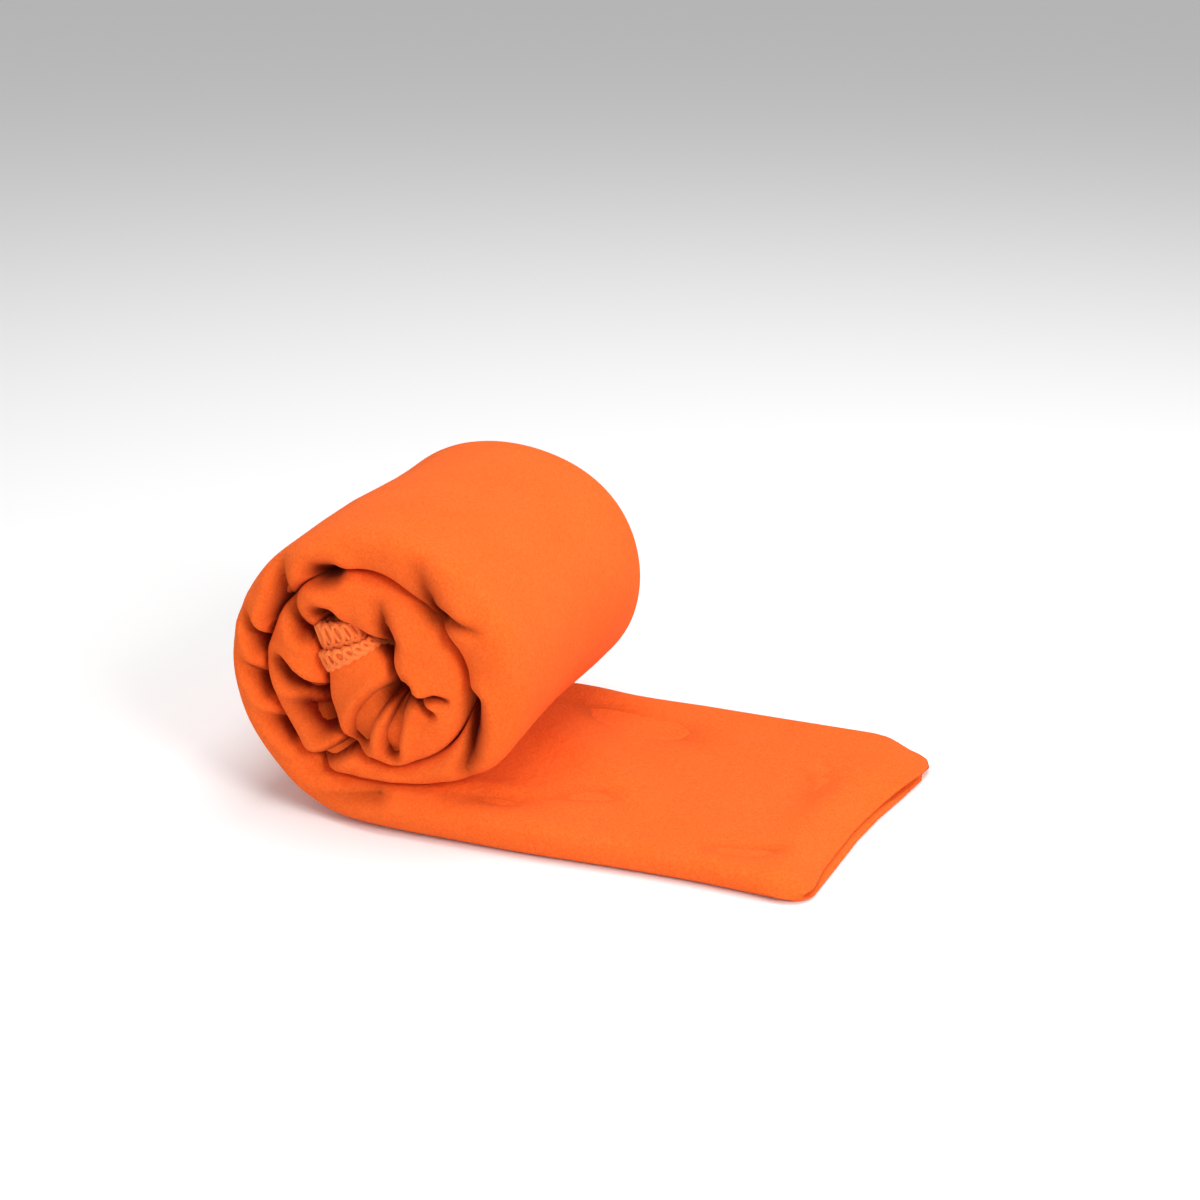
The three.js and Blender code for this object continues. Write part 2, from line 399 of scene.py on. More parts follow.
def crease_depth(x, z, turn):
    """How far the creases push a point of the near end inwards, and how much shade is painted there. Each
    crease pushes by its depth times exp(-(d/w)^1.1) at a distance d, less a low, wider swelling of the
    cloth beside it, and paints shade by its depth times exp(-(d/1.4w)^2)."""
    push, painted_shade_amount = np.zeros_like(x), np.zeros_like(x)
    for (start, stop), width, first, last, points in CREASES:
        points = np.array(points, float)
        nearest = np.full_like(x, 1e9)
        depth = np.zeros_like(x)
        count = len(points) - 1
        for k in range(count):
            a, b = points[k], points[k + 1]
            run = b - a
            t = np.clip(((x - a[0]) * run[0] + (z - a[1]) * run[1]) / (run @ run), 0, 1)
            distance = np.hypot(x - a[0] - t * run[0], z - a[1] - t * run[1])
            closer = distance < nearest
            nearest = np.where(closer, distance, nearest)
            depth = np.where(closer, mix(first, last, (k + t) / count), depth)
        ratio = nearest / width
        here = ease(start - TURN_FADE, start, turn) * ease(stop + TURN_FADE, stop, turn)
        ridge = RIDGE_SHARE * np.exp(-((ratio - RIDGE_AT) ** 2) / RIDGE_SPREAD)
        push += here * depth * (np.exp(-(ratio**CREASE_POWER)) - ridge)
        # painted shade along the crease, darkest at its line
        painted_shade_amount = np.maximum(painted_shade_amount, here * depth * np.exp(-((ratio / PAINTED_SHADE_REACH) ** 2)))
    return push, painted_shade_amount


print("creases:", len(CREASES), "deepest", max(last for _, _, _, last, _ in CREASES), "mm")

# %% [markdown]
# ## The whole map
#
# Now a point of the flat towel can be placed. Its distance from the crosswise fold gives the turn, its
# place across the width gives the section, and the two windings are mixed by how near it lies to the
# near end. The tail's end is oblique with round corners, and its upper lip droops towards the lower
# one. Its near side spreads on the ground and its far side slumps. Low, slow waves keep any stretch
# from looking machined.

# %% From flat towel to rolled towel
PUFF_START, PUFF_END = 3.0, 26.0  # the near end's shape fades out between these depths
THIRD_RECESS = np.array([7.5, 0.0, 6.0])  # how far each third stops short of the tail's end
UPPER_LIP_RECESS = 1.7  # how far the middle of the upper lip stops short of the lower one
LIP_DROOP, DROOP_LENGTH = 4.6, 11  # how far the upper lip sinks, and over what length of cloth
END_TRIM, TRIM_LENGTH = 0.5, 46  # what the end is cut back by, and over what length of cloth
NEAR_CORNER, FAR_CORNER = 6.0, 10.0
FAR_CORNER_LENGTH = 1.2  # the far corner is longer than it is wide
FAR_SPREAD = 3.8  # the far corner reaches this much further
HAIRPIN, HAIRPIN_BULGE = 1.6, 0.4  # half the cloth in the crosswise fold, and how far it bulges
TAIL_LIP, CORE_LIP = 0.66, 0.6  # the near folds are this much shallower on the tail and in the core
PRESS_DEPTH = 22.0  # creases fade out this far in from the near end
DRAW_IN = 0.15  # a crease also draws the cloth this much towards the roll's centre
GROUND_GAP = 0.05  # the towel's lowest points
BETWEEN_TURNS_SHADE, FOLD_VALLEY_SHADE = 3.2, 1.5  # how strong the painted shade is between turns, and in the tail folds' valleys
# How far the tail's near side spreads and how much thinner its far side is, every TAIL_STEP.
NEAR_BOW, BOW_START = [0.0, 1.3, 3.8, 3.9, 3.2, 2.2, 1.8, 2.6, 2.6], -40
FAR_SLUMP = [3.4, 3.9, 3.1, 2.3, 1.8, 1.6, 1.6]
# How much the roll swells: at the near side, at the far side, and at its shoulder on the far side.
NEAR_SWELL, FAR_SWELL, SHOULDER = 0.015, 0.020, 0.03
SHOULDER_TURN, SHOULDER_SPREAD = 232, 32
HEIGHT_SHARE = 0.95  # the height takes this share of the swelling
WAVE_X, WAVE_Y, WAVE_Z = 0.35, 0.5, 0.4  # how high the slow waves are


def slow_waves(x, y, z):
    """Sums of three long sine waves in different directions, between about -1 and 1."""
    first = np.sin(x / 11.0 + y / 17.0 + 1.3)
    second = np.sin(z / 13.0 - y / 23.0 + 0.4)
    return (first + second + np.sin((x + z) / 19.0 + y / 9.0)) / 3


# Soft folds on the tail's top: width, rise, then two or more points as x and y.
TAIL_FOLDS = [
    (5.0, 2.0, [(30.0, 4.0), (44.0, -6.0), (60.0, -20.0)]),
    (6.0, -2.8, [(28.0, 30.0), (44.0, 24.0), (62.0, 21.0)]),
    (3.2, -1.8, [(18.0, -40.0), (30.0, -36.0), (42.0, -29.0), (56.0, -21.0)]),
    (4.0, 1.7, [(8.0, -36.0), (26.0, -34.0), (50.0, -28.0)]),
    (5.0, 1.4, [(24.0, 38.0), (40.0, 31.0), (58.0, 27.0)]),
    (2.0, -1.6, [(82.0, -37.0), (92.0, -35.5), (100.0, -30.0)]),
    (4.0, -1.0, [(92.0, 22.0), (100.0, 8.0), (98.0, -10.0)]),
    (7.0, 1.1, [(60.0, 34.0), (80.0, 20.0), (98.0, 26.0)]),
]


def along_lines(x, y, lines):
    """Adds up smooth ridges: each is its rise times exp(-(d/w)^2) at a distance d from its line, fading
    to nothing at both ends."""
    total = np.zeros_like(x)
    for width, rise, points in lines:
        points = np.array(points, float)
        nearest, place = np.full_like(x, 1e9), np.zeros_like(x)
        count = len(points) - 1
        for k in range(count):
            a, run = points[k], points[k + 1] - points[k]
            t = np.clip(((x - a[0]) * run[0] + (y - a[1]) * run[1]) / (run @ run), 0, 1)
            distance = np.hypot(x - a[0] - t * run[0], y - a[1] - t * run[1])
            place = np.where(distance < nearest, (k + t) / count, place)
            nearest = np.minimum(distance, nearest)
        fade = np.sin(math.pi * np.clip(place * 0.9 + 0.05, 0, 1)) ** 0.6
        total += rise * fade * np.exp(-((nearest / width) ** 2))
    return total


def corner(distance, radius):
    """How much a round corner trims off at a distance from the side."""
    t = np.clip(distance / radius, 0, 1)
    return radius * (1 - np.sqrt(1 - (1 - t) ** 2))


def lip_droop(y):
    """How far the upper lip sinks at the tail's end: a little less near the near corner, and less again
    by a bell curve about a place on the far half, where the lip stands up."""
    return LIP_DROOP * (1 - 0.4 * np.exp(-(((y - 20) / 9) ** 2)) - 0.2 * ease(-24, -38, y))


def tail_trim(y, depth, third):
    """How far the tail's end is cut back: round corners, a step for the inner thirds, and a step for the
    upper lip that fades out towards both sides. The far side reaches further instead."""
    trim = END_TRIM + corner(y + SIDE, NEAR_CORNER) + FAR_CORNER_LENGTH * corner(SIDE - y, FAR_CORNER)
    middle_part = 1 - ease(6, 24, y) - ease(-24, -38, y)
    trim = trim + THIRD_RECESS[third]
    trim = trim + UPPER_LIP_RECESS * ease(0.2, 0.8, depth) * (third == 1) * middle_part
    return trim - FAR_SPREAD * ease(-10, 32, y)


def settle(x, y, z, turn, wound):
    """The tail's near side spreads on the ground, its far side slumps, and the roll swells a little to
    either side of its middle, and more at its shoulder."""
    low = 1 - ease(7, 15, z)
    y = y - through(NEAR_BOW, (x - BOW_START) / TAIL_STEP) * low * ease(10, -SIDE, y)
    reach = -np.minimum(turn, 0) * FOOT
    slump = through(FAR_SLUMP, reach / TAIL_STEP) * ease(-12, SIDE, y)
    z = z - slump * ease(0, 9, z)
    about_shoulder = np.exp(-(((turn - SHOULDER_TURN) / SHOULDER_SPREAD) ** 2))
    shoulder = SHOULDER * about_shoulder * ease(-20, SIDE, y)
    swell = 1 + (NEAR_SWELL * ease(-40, -18, y) + FAR_SWELL * ease(0, SIDE, y) + shoulder) * wound
    return x * swell, y, z * (1 + (swell - 1) * HEIGHT_SHARE)


def waver(x, y, z, press, wound):
    """Adds the slow waves, which fade out at the ground. The near end's folds waver lengthwise too."""
    wave = slow_waves(x, y, z)
    rise = np.clip(z / 12, 0, 1)
    x = x + WAVE_X * wave * wound * rise * np.tanh(x / 12)
    z = z + WAVE_Z * wave * rise
    y = y - WAVE_Y * slow_waves(z * 1.7, x * 1.3, y) * press * wound
    return x, y, z


def towel_place(across, down):
    """Carries points of the flat towel, across 0 to 500 and down 0 to 1000 mm, to the rolled towel.
    Also gives how much shade is painted into the colour at each point."""
    across, down = np.broadcast_arrays(np.asarray(across, float), np.asarray(down, float))
    signed = down - LENGTH / 2
    along = np.abs(signed)
    leaf = (signed > 0).astype(int)
    # round the crosswise fold the two leaves become one
    turning = 0.5 + 0.5 * np.sin(np.clip(signed / HAIRPIN, -1, 1) * math.pi / 2)
    ends = [section(across, np.full_like(leaf, k)) for k in (0, 1)]
    near_share, near_offset, far_offset, depth = (
        np.where(along < HAIRPIN, mix(a, b, turning), whole)
        for whole, a, b in zip(section(across, leaf), *ends)
    )
    turn = turn_at(along, leaf)
    reach = -np.minimum(turn, 0) * FOOT
    lip_scale = mix(1.0, TAIL_LIP, ease(5, 40, reach)) * mix(1.0, CORE_LIP, ease(560, 700, turn))
    y = mix(SIDE - far_offset, -SIDE + near_offset * lip_scale, near_share)
    from_near = y + SIDE
    # the near end's shape fades into the inside's
    puff = 1 - ease(PUFF_START, PUFF_END, from_near)
    deep, near = inside_edges(turn), near_edges(turn)
    outer = mix(deep[0], near[0], puff[..., None])
    inner = mix(deep[1], near[1], puff[..., None])
    place = mix(outer, inner, depth[..., None])
    x, z = place[..., 0], place[..., 1]
    # the tail's end: the upper lip droops, and the end is oblique with round corners and steps
    droop = lip_droop(y) * (1 - ease(0, DROOP_LENGTH, along)) ** 1.5
    z = z - droop * ease(0.15, 0.85, depth) * (turn < 0)
    third = np.clip(np.floor(across / (2 * STRIP)).astype(int), 0, 2)
    trim = tail_trim(y, depth, third) * (1 - ease(0, TRIM_LENGTH, along))
    stretch = 1 + TAIL_SKEW * y / (TAIL_REACH - BEND_REACH)
    slanted = BEND_REACH + (x - BEND_REACH) * stretch - trim
    x = np.where((turn < 0) & (x > BEND_REACH), slanted, x)
    x = np.where(along < HAIRPIN, x + HAIRPIN_BULGE * (1 - (signed / HAIRPIN) ** 2), x)
    # creases press in from the near end, most at the fold itself
    press = 1 - ease(1.0, PRESS_DEPTH, from_near)
    wound = ease(-40, -5, turn)
    push, painted_shade_amount = (amount * press * wound for amount in crease_depth(x, z, turn))
    y = y + push
    draw_in = DRAW_IN * push / np.maximum(np.hypot(x, z - CENTRE), 12)
    x, z = x * (1 - draw_in), CENTRE + (z - CENTRE) * (1 - draw_in)
    x, y, z = settle(x, y, z, turn, wound)
    fold = along_lines(x, y, TAIL_FOLDS) * np.clip(z / 8, 0, 1) * (turn < 0)
    x, y, z = waver(x, y, z + fold, press, wound)
    points = np.stack([x + AXIS_X, y, np.maximum(z, CLOTH / 2 + GROUND_GAP)], -1)
    # painted shade between the turns, from a little way in, and in the valleys of the tail's folds
    hidden = (turn > 375) | ((turn > 0) & (depth > 0.5))
    painted_gap_shade = BETWEEN_TURNS_SHADE * hidden * ease(3.5, 9.0, from_near) * ease(76, 70, from_near)
    return points, np.maximum(painted_shade_amount, painted_gap_shade) + FOLD_VALLEY_SHADE * np.maximum(-fold, 0)


def towel_point(across, down):
    """Only the points that towel_place gives."""
    return towel_place(across, down)[0]


tail_end, core_edge = towel_point(WIDTH / 2, [LENGTH / 2, 0.0])
print("tail end at", np.round(tail_end, 1), "core edge at", np.round(core_edge, 1))

# %% [markdown]
# ## The grid of the cloth
#
# One grid covers the whole towel. Its lines are close together where the cloth shows, on the round
# fold and the outer leaf of the roll, and wide apart inside the stack, so the mesh is fine where it
# matters and still light.

# %% Grid lines


def spread(parts):
    """Joins runs of evenly spaced values: each part is a start, an end and a number of steps."""
    runs = [np.linspace(start, stop, steps, endpoint=False) for start, stop, steps in parts]
    return np.concatenate([*runs, [parts[-1][1]]])


def across_lines():
    """Lines across the width, closest round the near fold, whose middle is halfway, and close on the
    cloth beside it."""
    third = 2 * STRIP
    half_fold = 12.5
    near, far = WIDTH / 2 - half_fold, WIDTH / 2 + half_fold
    hidden = [(0, HEM, 1), (HEM, STRIP - 9, 2), (STRIP - 9, STRIP + 9, 6), (STRIP + 9, third - 5, 2)]
    outside = [(third - 5, third + 4.5, 6), (third + 4.5, near - 12, 5), (near - 12, near, 7)]
    top = [(far, far + 12, 7), (far + 12, 2 * third - 4.5, 12)]
    rest = [(2 * third - 4.5, 2 * third + 5, 6), (2 * third + 5, WIDTH - STRIP - 8, 2)]
    rest += [(WIDTH - STRIP - 8, WIDTH - STRIP + 8, 6), (WIDTH - STRIP + 8, WIDTH - HEM, 2)]
    rest += [(WIDTH - HEM, WIDTH, 1)]
    return spread([*hidden, *outside, (near, far, 34), *top, *rest])


def down_lines():
    """Lines down the length: leaf a from its hem through the roll and the tail to the crosswise fold,
    then leaf b back to its hem with wider spacing."""
    return spread(
        [(0, HEM, 4), (HEM, 100, 146), (100, 375, 230), (375, 490, 46), (490, 498, 5), (498, 502, 8),
         (502, 510, 3), (510, 625, 5), (625, 930, 27), (930, LENGTH - HEM, 10), (LENGTH - HEM, LENGTH, 3)]
    )  # fmt: skip


lines_across, lines_down = across_lines(), down_lines()
print("grid:", len(lines_across), "by", len(lines_down))

# %% [markdown]
# ## Making meshes
#
# A grid of points becomes a mesh with `foreach_set`. The flat towel's own coordinates go along as a UV
# map, so that the pale band along the hems follows the cloth through every fold.

# %% Grid to mesh


def face_mesh(name, points, face_sets, uv=None):
    """A smooth mesh from points in millimetres and from arrays of faces, each a row of indices. The
    UV map has one pair for each point."""
    mesh = bpy.data.meshes.new(name)
    corners = np.concatenate([faces.ravel() for faces in face_sets])
    sizes = np.concatenate([np.full(len(faces), faces.shape[1]) for faces in face_sets])
    mesh.vertices.add(len(points))
    mesh.vertices.foreach_set("co", (points * MM).astype(np.float32).ravel())
    mesh.loops.add(len(corners))
    mesh.loops.foreach_set("vertex_index", corners.astype(np.int32))
    mesh.polygons.add(len(sizes))
    mesh.polygons.foreach_set("loop_start", (np.cumsum(sizes) - sizes).astype(np.int32))
    mesh.polygons.foreach_set("loop_total", sizes.astype(np.int32))
    mesh.update(calc_edges=True)
    if uv is not None:
        layer = mesh.uv_layers.new(name="flat_towel")
        layer.data.foreach_set("uv", uv[corners].astype(np.float32).ravel())
    mesh.polygons.foreach_set("use_smooth", np.ones(len(sizes), dtype=bool))
    mesh.validate()
    piece = bpy.data.objects.new(name, mesh)
    bpy.context.scene.collection.objects.link(piece)
    return piece


def grid_mesh(name, points, uv):
    """A mesh from rows by columns of points, with a quad between each four."""
    index = np.arange(points.shape[0] * points.shape[1]).reshape(points.shape[:2])
    quads = np.stack([index[:-1, :-1], index[:-1, 1:], index[1:, 1:], index[1:, :-1]], -1)
    return face_mesh(name, points.reshape(-1, 3), [quads.reshape(-1, 4)], uv.reshape(-1, 2))


# %% [markdown]
# ## The towel's cloth
#
# The cloth is one sheet with a thickness, so the grid is a single surface and a Solidify modifier
# gives it both faces. How much shade is painted into its colour, in the creases and between the
# turns, goes along as an attribute for the finish.

# %% The cloth
FULL_PAINTED_SHADE = 5.0  # painted shade this strong is as dark as it gets
grid_down, grid_across = np.meshgrid(lines_down, lines_across, indexing="ij")
cloth_points, painted_shade = towel_place(grid_across, grid_down)
cloth_uv = np.stack([grid_across / WIDTH, grid_down / LENGTH], -1)
cloth = grid_mesh("towel_cloth", cloth_points, cloth_uv)
# the painted shade goes on the points as an attribute
shade = cloth.data.attributes.new("crease_shade", "FLOAT", "POINT")
painted_shade_share = np.clip(painted_shade / FULL_PAINTED_SHADE, 0, 1)
shade.data.foreach_set("value", painted_shade_share.astype(np.float32).ravel())
solidify = cloth.modifiers.new("thickness", "SOLIDIFY")
solidify.thickness = CLOTH * MM
solidify.offset = 0
print("cloth:", len(cloth.data.polygons), "quads before its thickness")

# %% [markdown]
# ## Overlocked edges
#
# Each edge is bound by three threads. The needle thread is a line of stitches 5 mm in from the edge.
# The upper looper zigzags on one face between the needle line and the edge, and the lower looper does
# the same on the other face, and both lock at the edge in little loops. Each thread is a thin tube
# whose path is drawn on the flat towel and carried along by the same map as the cloth.

# %% Threads
STITCH = 2.6  # one stitch along the edge
THREAD = 1.3  # thread diameter, fluffed up
LOOP_MIDDLE, LOOP_REACH = 2.15, 2.05  # the looper threads swing this far about this inset
NEEDLE_INSET = HEM - 0.7
LEAN = 0.7 * STITCH  # each loop leans along the edge by this much
POINTS_PER_STITCH = 8
TUBE_SIDES = 5


def unit(vectors):
    """Each vector divided by its own length."""
    return vectors / np.maximum(np.linalg.norm(vectors, axis=-1, keepdims=True), 1e-9)


def lift_off(across, down, height):
    """Points at a height above the cloth's face: the map's own point plus height along the normal,
    found from two small steps across and down."""
    step = 0.3
    across_low, across_high = np.clip(across - step, 0, WIDTH), np.clip(across + step, 0, WIDTH)
    down_low, down_high = np.clip(down - step, 0, LENGTH), np.clip(down + step, 0, LENGTH)
    along_across = towel_point(across_high, down) - towel_point(across_low, down)
    along_down = towel_point(across, down_high) - towel_point(across, down_low)
    normal = unit(np.cross(along_across, along_down))
    return towel_point(across, down) + normal * np.asarray(height)[..., None], normal


def tube(name, path, normal, diameter):
    """A closed tube round a path: rings of points at the radius in the plane of the normal and of its
    cross product with the path's direction. The rings close to one point at both ends."""
    direction = unit(np.gradient(path, axis=0))
    side = unit(np.cross(direction, normal))
    up = np.cross(side, direction)
    angle = np.linspace(0, 2 * math.pi, TUBE_SIDES, endpoint=False)
    ring = np.cos(angle)[None, :, None] * side[:, None] + np.sin(angle)[None, :, None] * up[:, None]
    points = (path[:, None] + ring * diameter / 2).reshape(-1, 3)
    points = np.concatenate([points, path[:1], path[-1:]])
    points[:, 2] = np.maximum(points[:, 2], GROUND_GAP)  # it rests on the ground
    index = np.arange(len(path) * TUBE_SIDES).reshape(len(path), TUBE_SIDES)
    beside = np.roll(index, -1, axis=1)
    walls = np.stack([index[:-1], index[1:], beside[1:], beside[:-1]], -1).reshape(-1, 4)
    first, last = np.full(TUBE_SIDES, index.size), np.full(TUBE_SIDES, index.size + 1)
    caps = np.stack([first, index[0], beside[0]], -1), np.stack([last, beside[-1], index[-1]], -1)
    return face_mesh(name, points, [walls, *caps])


def edge_place(edge, run, inset):
    """A place on the flat towel: run millimetres along an edge and inset millimetres in from it."""
    if edge == "short_a":
        return run, inset
    if edge == "short_b":
        return run, LENGTH - inset
    if edge == "first_long":
        return inset, run
    return WIDTH - inset, run


EDGES = {"short_a": WIDTH, "short_b": WIDTH, "first_long": LENGTH, "last_long": LENGTH}


def thread_path(edge, kind):
    """One thread's path along an edge. The needle thread dips through the cloth at each stitch; a
    looper goes from the needle line to the edge and back once a stitch, with rounded turns."""
    length = EDGES[edge]
    count = int(length / STITCH) * POINTS_PER_STITCH
    run = np.linspace(0.5, length - 0.5, count)
    phase = 2 * math.pi * run / STITCH
    above = CLOTH / 2 + THREAD * 0.15
    if kind == "needle":
        inset = NEEDLE_INSET + 0.25 * np.sin(phase)
        height = above * np.cos(phase) * 0.9
    elif kind == "upper":
        inset = LOOP_MIDDLE + LOOP_REACH * np.cos(phase)
        height = above + 0.15 * np.sin(phase)
        run = run + LEAN * np.sin(phase)
    else:
        inset = LOOP_MIDDLE - LOOP_REACH * np.cos(phase)
        height = -above - 0.15 * np.sin(phase)
        run = run - LEAN * np.sin(phase)
    run = np.clip(run, 0.3, length - 0.3)
    across, down = edge_place(edge, run, np.maximum(inset, 0.0))
    return lift_off(across, down, height)


threads = {}
for edge in EDGES:
    for kind in ("needle", "upper", "lower"):
        path, normal = thread_path(edge, kind)
        threads[edge, kind] = tube(f"{edge}_{kind}_thread", path, normal, THREAD)
print("threads:", len(threads), "of", len(threads["short_a", "upper"].data.polygons), "quads or more")

# %% [markdown]
# ## Finishes
#
# Brushed microfibre is matt: it has a fine nap that scatters light, so it gets a high roughness, a
# soft sheen and a bump of fine fibres, with faint blotches where the nap lies another way. Shade is
# painted into its colour in the creases, in the tail's fold valleys and between the turns. The threads
# are smoother and paler. One node group makes the nap for both.

# %% The nap group


def nap_group():
    """A node group: fine fibre noise as a height and as a mask, and slow blotches as a mask."""
    group = bpy.data.node_groups.new("fibre_nap", "ShaderNodeTree")
    face = group.interface
    face.new_socket("Vector", in_out="INPUT", socket_type="NodeSocketVector")
    for name, value in (("Fibre Scale", 1700.0), ("Blotch Scale", 60.0)):
        socket = face.new_socket(name, in_out="INPUT", socket_type="NodeSocketFloat")
        socket.default_value = value
    for name in ("Height", "Fibre", "Blotch"):
        face.new_socket(name, in_out="OUTPUT", socket_type="NodeSocketFloat")
    nodes, links = group.nodes, group.links
    entry, leave = nodes.new("NodeGroupInput"), nodes.new("NodeGroupOutput")
    fibre, blotch, pile = (nodes.new("ShaderNodeTexNoise") for _ in range(3))
    fibre.inputs["Detail"].default_value = 6.0
    fibre.inputs["Roughness"].default_value = 0.7
    blotch.inputs["Detail"].default_value = 3.0
    pile.inputs["Scale"].default_value = 420.0
    pile.inputs["Detail"].default_value = 4.0
    add = nodes.new("ShaderNodeMath")
    add.operation = "MULTIPLY_ADD"
    add.inputs[1].default_value = 0.6
    for noise in (fibre, blotch, pile):
        links.new(entry.outputs["Vector"], noise.inputs["Vector"])
    links.new(entry.outputs["Fibre Scale"], fibre.inputs["Scale"])
    links.new(entry.outputs["Blotch Scale"], blotch.inputs["Scale"])
    links.new(fibre.outputs["Fac"], add.inputs[0])
    links.new(pile.outputs["Fac"], add.inputs[2])
    links.new(add.outputs[0], leave.inputs["Height"])
    links.new(fibre.outputs["Fac"], leave.inputs["Fibre"])
    links.new(blotch.outputs["Fac"], leave.inputs["Blotch"])
    return group


NAP = nap_group()


def ramp(nodes, stops):
    """A colour ramp with the given stops, each a place and a colour."""
    node = nodes.new("ShaderNodeValToRGB")
    points = node.color_ramp.elements
    for k, (place, colour) in enumerate(stops):
        point = points[k] if k < 2 else points.new(place)
        point.position = place
        point.color = (*colour, 1.0)
    return node


# %% Cloth finish
ORANGE = (0.92, 0.142, 0.020)
ORANGE_SHADE = (0.90, 0.129, 0.015)
ORANGE_PALE = (0.96, 0.180, 0.038)
ORANGE_DARK = (0.86, 0.098, 0.007)
# the dark red of the painted shade in creases and between the turns
PAINTED_SHADE_ORANGE = (0.20, 0.006, 0.0)
THREAD_PALE = (0.96, 0.225, 0.050)


def cloth_material():
    """Brushed suede: two oranges mixed by blotches and fibres, a paler band at the hems, shade painted
    in the creases and between the turns, fine bump, and sheen.
    """
    material = bpy.data.materials.new("brushed_suede")
    material.use_nodes = True
    nodes, links = material.node_tree.nodes, material.node_tree.links
    shader = nodes["Principled BSDF"]
    place = nodes.new("ShaderNodeTexCoord")
    nap = nodes.new("ShaderNodeGroup")
    nap.node_tree = NAP
    links.new(place.outputs["Object"], nap.inputs["Vector"])
    blotch_colour = ramp(nodes, [(0.35, ORANGE_SHADE), (0.65, ORANGE)])
    fibre_colour = ramp(nodes, [(0.40, ORANGE_DARK), (0.62, ORANGE_PALE)])
    blend = nodes.new("ShaderNodeMix")
    blend.data_type = "RGBA"
    blend.inputs["Factor"].default_value = 0.5
    links.new(nap.outputs["Blotch"], blotch_colour.inputs["Fac"])
    links.new(nap.outputs["Fibre"], fibre_colour.inputs["Fac"])
    links.new(blotch_colour.outputs["Color"], blend.inputs["A"])
    links.new(fibre_colour.outputs["Color"], blend.inputs["B"])
    # fluff from the threads makes the cloth paler in a band round all four edges
    flat_place = nodes.new("ShaderNodeUVMap")
    flat_place.uv_map = "flat_towel"
    split = nodes.new("ShaderNodeSeparateXYZ")
    links.new(flat_place.outputs["UV"], split.inputs["Vector"])
    bands = []
    for axis, size in (("X", WIDTH), ("Y", LENGTH)):
        from_middle, band = nodes.new("ShaderNodeMath"), nodes.new("ShaderNodeMath")
        from_middle.operation, band.operation = "SUBTRACT", "COMPARE"
        from_middle.inputs[1].default_value = 0.5
        centred = nodes.new("ShaderNodeMath")
        centred.operation = "ABSOLUTE"
        band.inputs[1].default_value = 0.5
        band.inputs[2].default_value = HEM / size
        links.new(split.outputs[axis], from_middle.inputs[0])
        links.new(from_middle.outputs[0], centred.inputs[0])
        links.new(centred.outputs[0], band.inputs[0])
        bands.append(band)
    either = nodes.new("ShaderNodeMath")
    either.operation = "MAXIMUM"
    for k, band in enumerate(bands):
        links.new(band.outputs[0], either.inputs[k])
    share = nodes.new("ShaderNodeMath")
    share.operation = "MULTIPLY"
    share.inputs[1].default_value = 0.85
    links.new(either.outputs[0], share.inputs[0])
    fluffed = nodes.new("ShaderNodeMix")
    fluffed.data_type = "RGBA"
    links.new(share.outputs[0], fluffed.inputs["Factor"])
    links.new(blend.outputs["Result"], fluffed.inputs["A"])
    fluffed.inputs["B"].default_value = (*THREAD_PALE, 1.0)
    # painted shade: in the creases, the tail's fold valleys and between the turns the colour goes towards
    # a dark red
    painted_shade_amount = nodes.new("ShaderNodeAttribute")
    painted_shade_amount.attribute_name = "crease_shade"
    painted_shade_mix = nodes.new("ShaderNodeMix")
    painted_shade_mix.data_type = "RGBA"
    painted_shade_mix.inputs["B"].default_value = (*PAINTED_SHADE_ORANGE, 1.0)
    links.new(painted_shade_amount.outputs["Fac"], painted_shade_mix.inputs["Factor"])
    links.new(fluffed.outputs["Result"], painted_shade_mix.inputs["A"])
    links.new(painted_shade_mix.outputs["Result"], shader.inputs["Base Color"])
    bump = nodes.new("ShaderNodeBump")
    bump.inputs["Strength"].default_value = 0.9
    bump.inputs["Distance"].default_value = 0.0006
    links.new(nap.outputs["Height"], bump.inputs["Height"])
    links.new(bump.outputs["Normal"], shader.inputs["Normal"])
    shader.inputs["Roughness"].default_value = 0.92
    shader.inputs["Specular IOR Level"].default_value = 0.08
    shader.inputs["Sheen Weight"].default_value = 0.18
    shader.inputs["Sheen Roughness"].default_value = 0.5
    shader.inputs["Sheen Tint"].default_value = (1.0, 0.34, 0.12, 1.0)
    return material


def thread_material():
    """Soft spun thread: paler, a little smoother, with a fibre bump."""
    material = bpy.data.materials.new("overlock_thread")
    material.use_nodes = True
    nodes, links = material.node_tree.nodes, material.node_tree.links
    shader = nodes["Principled BSDF"]
    place = nodes.new("ShaderNodeTexCoord")
    nap = nodes.new("ShaderNodeGroup")
    nap.node_tree = NAP
    nap.inputs["Fibre Scale"].default_value = 3000.0
    links.new(place.outputs["Object"], nap.inputs["Vector"])
    colour = ramp(nodes, [(0.3, ORANGE_PALE), (0.6, THREAD_PALE)])
    links.new(nap.outputs["Fibre"], colour.inputs["Fac"])
    links.new(colour.outputs["Color"], shader.inputs["Base Color"])
    bump = nodes.new("ShaderNodeBump")
    bump.inputs["Strength"].default_value = 0.7
    bump.inputs["Distance"].default_value = 0.0003
    links.new(nap.outputs["Height"], bump.inputs["Height"])
    links.new(bump.outputs["Normal"], shader.inputs["Normal"])
    shader.inputs["Roughness"].default_value = 0.85
    shader.inputs["Specular IOR Level"].default_value = 0.1
    shader.inputs["Sheen Weight"].default_value = 0.35
    shader.inputs["Sheen Tint"].default_value = (1.0, 0.55, 0.28, 1.0)
    return material


